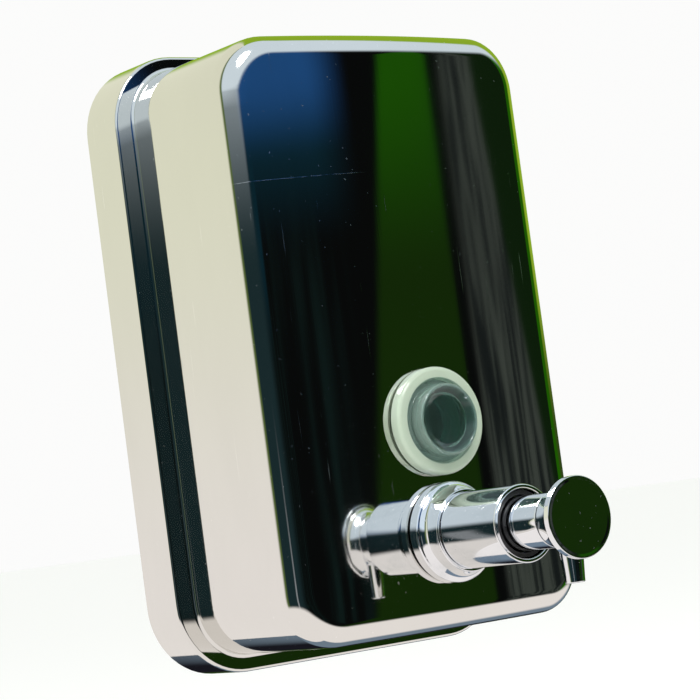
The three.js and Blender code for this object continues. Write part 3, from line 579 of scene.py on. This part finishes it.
def slab(x_range, y_range, z_range, radius, steps=8):
    """Points and faces of a flat slab, with corners that are round as seen from above."""
    x0, x1 = x_range
    y0, y1 = y_range
    corners = [(x1 - radius, y1 - radius, 0), (x0 + radius, y1 - radius, 90)]
    corners += [(x0 + radius, y0 + radius, 180), (x1 - radius, y0 + radius, 270)]
    ring = []
    for x, y, start in corners:
        for k in range(steps + 1):
            angle = math.radians(start + 90 * k / steps)
            ring.append((x + radius * math.cos(angle), y + radius * math.sin(angle)))
    count = len(ring)
    points = [(x, y, z) for z in z_range for x, y in ring]
    faces = [[i, (i + 1) % count, count + (i + 1) % count, count + i] for i in range(count)]
    return points, faces + [list(range(count))[::-1], list(range(count, 2 * count))]


def cut_away(piece, tools):
    """Takes each tool's mesh out of the piece."""
    for points, faces in tools:
        mesh = bpy.data.meshes.new("cutter")
        mesh.from_pydata([tuple(p) for p in points], [], faces)
        cutter = bpy.data.objects.new("cutter", mesh)
        outward(cutter)
        bpy.context.scene.collection.objects.link(cutter)
        modifier = piece.modifiers.new("cut", "BOOLEAN")
        modifier.operation = "DIFFERENCE"
        modifier.solver = "EXACT"
        modifier.object = cutter
        evaluated = piece.evaluated_get(bpy.context.evaluated_depsgraph_get())
        result = bpy.data.meshes.new_from_object(evaluated)
        piece.modifiers.clear()
        old = piece.data
        piece.data = result
        bpy.data.meshes.remove(old)
        bpy.data.objects.remove(cutter)


def build_shell(material):
    points, faces = shell_mesh()
    piece = add_mesh("front_shell_skin", points, faces, "tank", material, ["front_shell"])
    outward(piece)
    lid_low, lid_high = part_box("lid")
    margin = 2 * SHELL_WALL
    lid_x = (lid_low.x - GAP, lid_high.x + GAP)
    lid_y = (lid_low.y - GAP, GAP - LID_REAR)
    lid_tool = slab(lid_x, lid_y, (BOX_TOP - margin, BOX_TOP + margin), LID_CORNER + GAP)
    reach = (EDGE_DEPTH - 3 * SHELL_WALL, FRONT_DEPTH + SHELL_WALL)
    pump_tool = turned(disc(PUMP_BODY_RADIUS + GAP, *reach), axis_along("collar_nut"))
    sight_tool = turned(disc(SIGHT_TUBE + GAP, *reach), axis_along("sight_glass"))
    screw_hole = disc(SCREW_SHANK + GAP, RIM_BOTTOM - margin, RIM_BOTTOM + margin)
    screw_tool = turned(screw_hole, axis_up("security_screw"), upright=True)
    tools = [without_loose(*tool) for tool in (pump_tool, sight_tool, screw_tool)]
    cut_away(piece, [lid_tool] + tools)
    finish_shading(piece, 40)


def disc(radius, low, high):
    return [(0, low), (radius, low), (radius, high), (0, high)]


# --- Fittings ------------------------------------------------------------------------------------------

def round_edge(radius, front, edge):
    """A quarter arc round the front edge of a turned profile."""
    return [(radius - edge * (1 - math.cos(a)), front - edge * (1 - math.sin(a))) for a in quarter_turn(6)]


def sight_profile():
    """The sight glass: a flange with a rounded edge, a groove, and a domed tube with a dished window."""
    rear, front = depths("sight_glass")
    flange = radius_of("sight_glass")
    flange_front = front - SIGHT_DOME_RISE
    flange_rear = flange_front - SIGHT_FLANGE
    groove = flange_front - SIGHT_GROOVE
    groove_foot = 0.2 * MM
    dome = SIGHT_TUBE - SIGHT_DOME_STEP
    bore = dome - SIGHT_WALL
    window = front - SIGHT_DISH
    dish_top = 0.1 * MM  # the dish's side leans out by this, half-way up
    return [
        (0, window - SIGHT_WALL),
        (bore, window - SIGHT_WALL),
        (bore, rear),
        (SIGHT_TUBE, rear),
        (SIGHT_TUBE, flange_rear),
        (flange - SKIRT, flange_rear),
        (flange - SKIRT, FRONT_DEPTH + GAP),
        (flange, FRONT_DEPTH + GAP),
        *round_edge(flange, flange_front, SIGHT_EDGE),
        (SIGHT_TUBE + SIGHT_GROOVE_REACH, flange_front),
        (SIGHT_TUBE + groove_foot, groove),
        (dome, groove),
        *round_edge(dome, front, SIGHT_LIP),
        (bore + dish_top, window + SIGHT_DISH / 2),
        (bore - SIGHT_DISH, window),
        (0, window),
    ]


def collar_profile(bore):
    """The collar: a rim against the shell, and a shoulder that sweeps in to a nose round the barrel."""
    front = depths("collar_nut")[1]
    radius = radius_of("collar_nut")
    skirt_rear = FRONT_DEPTH + GAP
    rear = skirt_rear + GASKET
    rim_front = rear + COLLAR_RIM
    shoulder = radius - GAP
    sweep_in = shoulder - radius_of("barrel_sleeve") - COLLAR_NOSE
    sweep = []
    for angle in quarter_turn(8):
        along = front - (front - rim_front) * math.cos(angle)
        sweep.append((shoulder - sweep_in * math.sin(angle), along))
    return [
        (bore, rear),
        (radius - SKIRT, rear),
        (radius - SKIRT, skirt_rear),
        (shoulder, skirt_rear),
        (radius, skirt_rear + GAP),
        (radius, rim_front - GAP),
        *sweep,
        (bore, front),
    ]


def button_profile():
    """The push button: a trumpet flare behind a flat face, which is dished a little inside its rim."""
    rear, front = depths("push_button")
    radius = radius_of("push_button")
    neck = radius_of("neck_sleeve")
    face_rear = front - BUTTON_THICKNESS
    flare_out = radius - 2 * GAP - neck
    flare = []
    for angle in quarter_turn(10):
        flare_radius = neck + flare_out * (1 - math.cos(angle))
        flare.append((flare_radius, rear + (face_rear - rear) * math.sin(angle)))
    dish = radius - BUTTON_RIM - 0.5 * MM
    beside = dish - GAP  # keeps the slope's shading off the face
    return [
        (ROD_ROOM, rear),
        *flare,
        (radius, face_rear),
        (radius, front),
        (radius - BUTTON_RIM, front),
        (dish, front - BUTTON_DISH),
        (beside, front - BUTTON_DISH),
        (0, front - BUTTON_DISH),
        (0, face_rear - GAP),
        (ROD_ROOM, face_rear - GAP),
    ]


def ring_profile(node, bore):
    rear, front = depths(node)
    radius = radius_of(node)
    return [(bore, rear), (radius, rear), (radius, front), (bore, front)]


def spout_profile():
    """A tapered spout, drawn from its tip upwards."""
    low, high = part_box("spout")
    tip = (SPOUT_TIP, low.z)
    lip = (SPOUT_TIP + 0.05 * MM, low.z + 1 * MM)
    return [(SPOUT_BORE, low.z), tip, lip, (radius_of("spout"), high.z), (SPOUT_BORE, high.z)]


def lock_profile(bore):
    """The lock's barrel, with its head on the lid."""
    low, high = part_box("lock_barrel")
    head = radius_of("lock_barrel")
    under = BOX_TOP + GAP
    return [
        (bore, high.z),
        (head - GAP, high.z),
        (head, high.z - GAP),
        (head, under),
        (LOCK_BODY, under),
        (LOCK_BODY, low.z),
        (bore, low.z),
    ]


def build_fittings(materials):
    chrome = materials["chrome"]
    build_tank_fittings(materials, chrome)
    pump = axis_along("collar_nut")
    neck = ring_profile("neck_sleeve", radius_of("neck_sleeve") - NECK_WALL)
    add_turned("neck_sleeve", neck, pump, "push_head", chrome)
    add_turned("push_button", button_profile(), pump, "push_head", chrome, edge=GAP)
    spout = axis_up("spout")
    add_turned("spout", spout_profile(), spout, "push_head", chrome, upright=True, edge=GAP)
    lock = lock_profile(radius_of("lock_core") + RUNNING_GAP)
    add_turned("lock_barrel", lock, axis_up("lock_barrel"), "lid", chrome, upright=True)


def build_tank_fittings(materials, chrome):
    """The sight glass and the fixed pieces of the pump."""
    sight = axis_along("sight_glass")
    pump = axis_along("collar_nut")
    bore = PUMP_BODY_RADIUS + GAP
    clear, black = materials["sight"], materials["black_plastic"]
    barrel = ring_profile("barrel_sleeve", bore)
    guide = ring_profile("guide_ring", radius_of("neck_sleeve") + RUNNING_GAP)
    add_turned("sight_glass", sight_profile(), sight, "tank", clear, edge=0.15 * MM)
    add_turned("collar_nut", collar_profile(bore), pump, "tank", chrome, edge=GAP)
    add_turned("barrel_sleeve", barrel, pump, "tank", chrome, edge=0.35 * MM)
    add_turned("guide_ring", guide, pump, "tank", black)


def helix(radius, rear, front, height):
    """Points and faces of the spring's round wire, wound round the pump's axis."""
    points = []
    steps = SPRING_TURNS * WIRE_STEPS
    for i in range(steps + 1):
        angle = 2 * math.pi * SPRING_TURNS * i / steps
        out = Vector((math.cos(angle), 0, math.sin(angle)))
        centre = Vector((0, -(rear + (front - rear) * i / steps), height)) + out * radius
        for k in range(WIRE_SIDES):
            turn = 2 * math.pi * k / WIRE_SIDES
            along = Vector((0, SPRING_WIRE * math.sin(turn), 0))
            points.append(centre + out * (SPRING_WIRE * math.cos(turn)) + along)
    faces = []
    for i in range(steps):
        for k in range(WIRE_SIDES):
            a, b = i * WIRE_SIDES + k, i * WIRE_SIDES + (k + 1) % WIRE_SIDES
            faces.append([a, b, b + WIRE_SIDES, a + WIRE_SIDES])
    last = steps * WIRE_SIDES
    return points, faces + [list(range(WIRE_SIDES)), list(range(last, last + WIRE_SIDES))]


def build_spring(material):
    """The return spring, which in the real pump shortens as the push head goes in. This skin is built at its
    resting length and rides on the tank.
    """
    low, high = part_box("return_spring")
    height = middle("collar_nut").z
    radius = radius_of("return_spring") - SPRING_WIRE
    points, faces = helix(radius, -high.y + SPRING_WIRE, -low.y - SPRING_WIRE, height)
    name = "return_spring_skin"
    piece = add_mesh(name, points, faces, "tank", material, ["return_spring"], sharp=60)
    outward(piece)
    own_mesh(piece)


def paint_cad(materials):
    """Gives every CAD node the finish of its material slot."""
    for entry in frame["record"]["subparts"]:
        piece = frame["nodes"][entry["node"]]
        material = materials[entry["material_slot"]]
        if not piece.data.materials:
            piece.data.materials.append(material)
        for slot in piece.material_slots:
            slot.material = material


# --- Studio --------------------------------------------------------------------------------------------

PALE = (0.97, 0.97, 0.965, 1)
CREAM = (0.93, 0.885, 0.86, 1)
CREAM_HIGH = (0.84, 0.85, 0.68, 1)
BLACK = (0.003, 0.0035, 0.0035, 1)
TEAL_HAZE = (0.006, 0.015, 0.014, 1)
DARK_BLUE = (0.004, 0.020, 0.030, 1)
NAVY = (0.015, 0.075, 0.23, 1)
SLATE = (0.012, 0.028, 0.032, 1)
LOW_GREEN = (0.008, 0.025, 0.003, 1)
HIGH_GREEN = (0.012, 0.085, 0.002, 1)
STREAK_DARK = (0.009, 0.012, 0.012, 1)
STREAK_PALE = (0.050, 0.060, 0.052, 1)
DEEP_GREEN = (0.005, 0.015, 0.004, 1)
EDGE_GREEN = (0.016, 0.12, 0.001, 1)
MOSS = (0.035, 0.07, 0.01, 1)
YELLOW_GREEN = (0.30, 0.48, 0.03, 1)
OLIVE = (0.10, 0.15, 0.04, 1)
CARD = (0.26, 0.28, 0.30, 1)
SKY = (0.72, 0.83, 0.92, 1)
BLUE_GREY = (0.18, 0.24, 0.31, 1)
NIGHT = (0.01, 0.01, 0.015, 1)

FLOOR_HALF = 30.0
FLOOR_DROP = 90 * MM  # below the piece

CAMERA_AZIMUTH = math.radians(37.2)
CAMERA_ELEVATION = math.radians(3.8)
CAMERA_ROLL = math.radians(7.6)
CAMERA_DISTANCE = 0.6607
CAMERA_AIM = Vector((0, -0.0308, -0.0017))
CAMERA_SENSOR = 36  # millimetres
CAMERA_LENS = 128.05


def flag_colours(shader, direction, bearing, height):
    """The band mirrored in the front face. From left to right it is black under navy, green, grey with
    dark streaks, and green again. Angles are in degrees."""
    haze = shader.stretched(direction, (14, 14, 2.2), 4.0)
    teal = shader.mix(shader.step(haze, 0.45, 0.7), BLACK, TEAL_HAZE)
    hazy = shader.math("MULTIPLY", shader.step(bearing, 30, 22), shader.step(height, 9, 3))
    dark = shader.mix(hazy, BLACK, teal)
    navy = shader.mix(shader.step(height, 8.3, 10.2), DARK_BLUE, NAVY)
    rise = shader.math("ADD", height, shader.step(bearing, 4, -12, 0.0, 2.6))
    high_left = shader.math("MULTIPLY", shader.step(rise, 6.2, 8.8), shader.step(bearing, 33, 26))
    dark = shader.mix(high_left, dark, navy)

    green = shader.mix(shader.step(height, 5, 10.5), LOW_GREEN, HIGH_GREEN)
    streaks = shader.stretched(direction, (30, 30, 3.2), 3.0)
    streaked = shader.mix(shader.step(streaks, 0.42, 0.55), STREAK_DARK, STREAK_PALE)
    leaning = shader.math("SUBTRACT", bearing, shader.math("MULTIPLY", height, 0.87))
    slanted = shader.math("ADD", bearing, shader.math("MULTIPLY", height, 0.5))
    band = shader.layers(dark, [
        (leaning, 27.9, 29.5, green),
        (bearing, 45.0, 45.8, BLACK),
        (bearing, 46.8, 48.6, streaked),
        (slanted, 57.4, 58.6, DEEP_GREEN),
        (bearing, 61.5, 64.0, EDGE_GREEN),
        (bearing, -10.0, -40.0, SLATE),
    ])

    # A pale card low on the left, for the pump's barrel to mirror.
    card = shader.math("MULTIPLY", shader.step(bearing, -45.4, -47.2), shader.step(bearing, -53, -50))
    card = shader.math("MULTIPLY", card, shader.step(height, 3, -3))
    return shader.mix(card, band, CARD)


def low_colours(shader, bearing, height):
    """What is mirrored from below: cream in front, and blue-grey and black further round to the right."""
    below = shader.mix(shader.step(bearing, 92, 112), CREAM, BLUE_GREY)
    shade = shader.math("MULTIPLY", shader.step(bearing, 124, 136), shader.step(height, -38, -28))
    return shader.mix(shade, below, NIGHT)


def mirrored_surround(shader):
    """The colour of the world in each direction, as the polished steel sees it."""
    direction = shader.add("ShaderNodeTexCoord").outputs["Generated"]
    east, north, up = shader.add("ShaderNodeSeparateXYZ", {0: direction}).outputs
    south = shader.math("MULTIPLY", north, -1.0)
    degrees = 180 / math.pi
    bearing = shader.math("MULTIPLY", shader.math("ARCTAN2", east, south), degrees)
    height = shader.math("MULTIPLY", shader.math("ARCSINE", up), degrees)
    sky_height = shader.math("ADD", height, shader.step(bearing, 4, -30, 0.0, 8.0))
    floor_height = shader.math("ADD", height, shader.step(bearing, 25, -10, 0.0, 5.0))
    mossy = shader.mix(shader.step(height, 1, 6), MOSS, YELLOW_GREEN)
    cream = shader.mix(shader.step(height, -2, 9), CREAM, CREAM_HIGH)
    return shader.layers(flag_colours(shader, direction, bearing, height), [
        (sky_height, 14, 24, SKY),
        (bearing, 80, 90, mossy),
        (bearing, 150, 165, cream),
        (bearing, -84, -92, OLIVE),
        (bearing, -92, -104, cream),
        (floor_height, -10, -17, low_colours(shader, bearing, height)),
    ])


def build_world():
    """A plain pale studio. Only mirrored rays see its dark and tinted flags."""
    world = bpy.data.worlds.new("studio")
    bpy.context.scene.world = world
    world.use_nodes = True
    shader = Shader(world.node_tree)
    flags = shader.add("ShaderNodeBackground", {"Color": mirrored_surround(shader), "Strength": 1.0})
    plain = shader.add("ShaderNodeBackground", {"Color": PALE, "Strength": 1.0})
    path = shader.add("ShaderNodeLightPath").outputs
    seen = shader.math("MAXIMUM", path["Is Camera Ray"], path["Is Diffuse Ray"])
    both = shader.add("ShaderNodeMixShader", {0: seen, 1: flags.outputs[0], 2: plain.outputs[0]})
    shader.add("ShaderNodeOutputWorld", {"Surface": both.outputs[0]})


def build_floor():
    """A plain pale floor, under the piece."""
    material, shader = new_material("studio_floor")
    grain = shader.noise(shader.place((40, 40, 40)), 1.0, 4.0)
    colour = shader.mix(grain, grey(0.80), grey(0.83))
    glow = {"Emission Color": PALE, "Emission Strength": 0.21}
    surface(shader, {"Base Color": colour, "Roughness": 0.8} | glow)
    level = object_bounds()[0][2] - FLOOR_DROP
    corners = [(-1, -1), (1, -1), (1, 1), (-1, 1)]
    points = [(x * FLOOR_HALF, y * FLOOR_HALF, level) for x, y in corners]
    mesh = bpy.data.meshes.new("studio_floor")
    mesh.from_pydata(points, [], [[0, 1, 2, 3]])
    mesh.materials.append(material)
    floor = bpy.data.objects.new("studio_floor", mesh)
    bpy.context.scene.collection.objects.link(floor)
    floor.visible_glossy = False


def add_softbox(name, place, size, power, target, mirrored):
    light = bpy.data.lights.new(name, "AREA")
    light.shape = "DISK"
    light.size = size
    light.energy = power
    lamp = bpy.data.objects.new(name, light)
    lamp.location = place
    lamp.rotation_euler = (Vector(target) - Vector(place)).to_track_quat("-Z", "Y").to_euler()
    lamp.visible_glossy = mirrored
    bpy.context.scene.collection.objects.link(lamp)


def build_lights():
    target = (0, -0.04, 0)
    add_softbox("key", (-0.25, -0.75, 0.85), 0.45, 9, target, True)
    add_softbox("fill", (-1.1, -0.25, 0.25), 0.8, 6, target, False)


def build_camera():
    """The camera: to the left of the piece, a little below its middle, and rolled."""
    level = math.cos(CAMERA_ELEVATION)
    forward = Vector((
        math.sin(CAMERA_AZIMUTH) * level,
        math.cos(CAMERA_AZIMUTH) * level,
        math.sin(CAMERA_ELEVATION),
    ))
    data = bpy.data.cameras.new("camera")
    data.sensor_width = CAMERA_SENSOR
    data.lens = CAMERA_LENS
    camera = bpy.data.objects.new("camera", data)
    upright = forward.to_track_quat("-Z", "Y").to_matrix().to_4x4()
    place = Matrix.Translation(CAMERA_AIM - forward * CAMERA_DISTANCE)
    camera.matrix_world = place @ upright @ Matrix.Rotation(-CAMERA_ROLL, 4, "Z")
    bpy.context.scene.collection.objects.link(camera)
    bpy.context.scene.camera = camera


def main():
    bpy.context.scene.view_settings.view_transform = "Standard"
    materials = {
        "polished_steel": mirror_steel("polished_steel", (0.80, 0.79, 0.76, 1), 0.03),
        "plain_steel": satin_steel("plain_steel"),
        "chrome": chrome_plate("chrome"),
        "clear_plastic": clear_moulding("clear_plastic"),
        "white_plastic": white_moulding("white_plastic"),
        "black_plastic": rubber("black_plastic", (0.012, 0.012, 0.013, 1), 0.3),
        "black_rubber": rubber("black_rubber", (0.02, 0.02, 0.02, 1), 0.6),
        "spring_steel": satin_steel("spring_steel"),
    }
    materials["sight"] = clear_moulding("sight_clear", tuple(middle("sight_glass")))
    paint_cad(materials)
    build_camera()
    build_shell(materials["polished_steel"])
    build_fittings(materials)
    build_spring(materials["spring_steel"])
    build_floor()
    build_world()
    build_lights()


main()
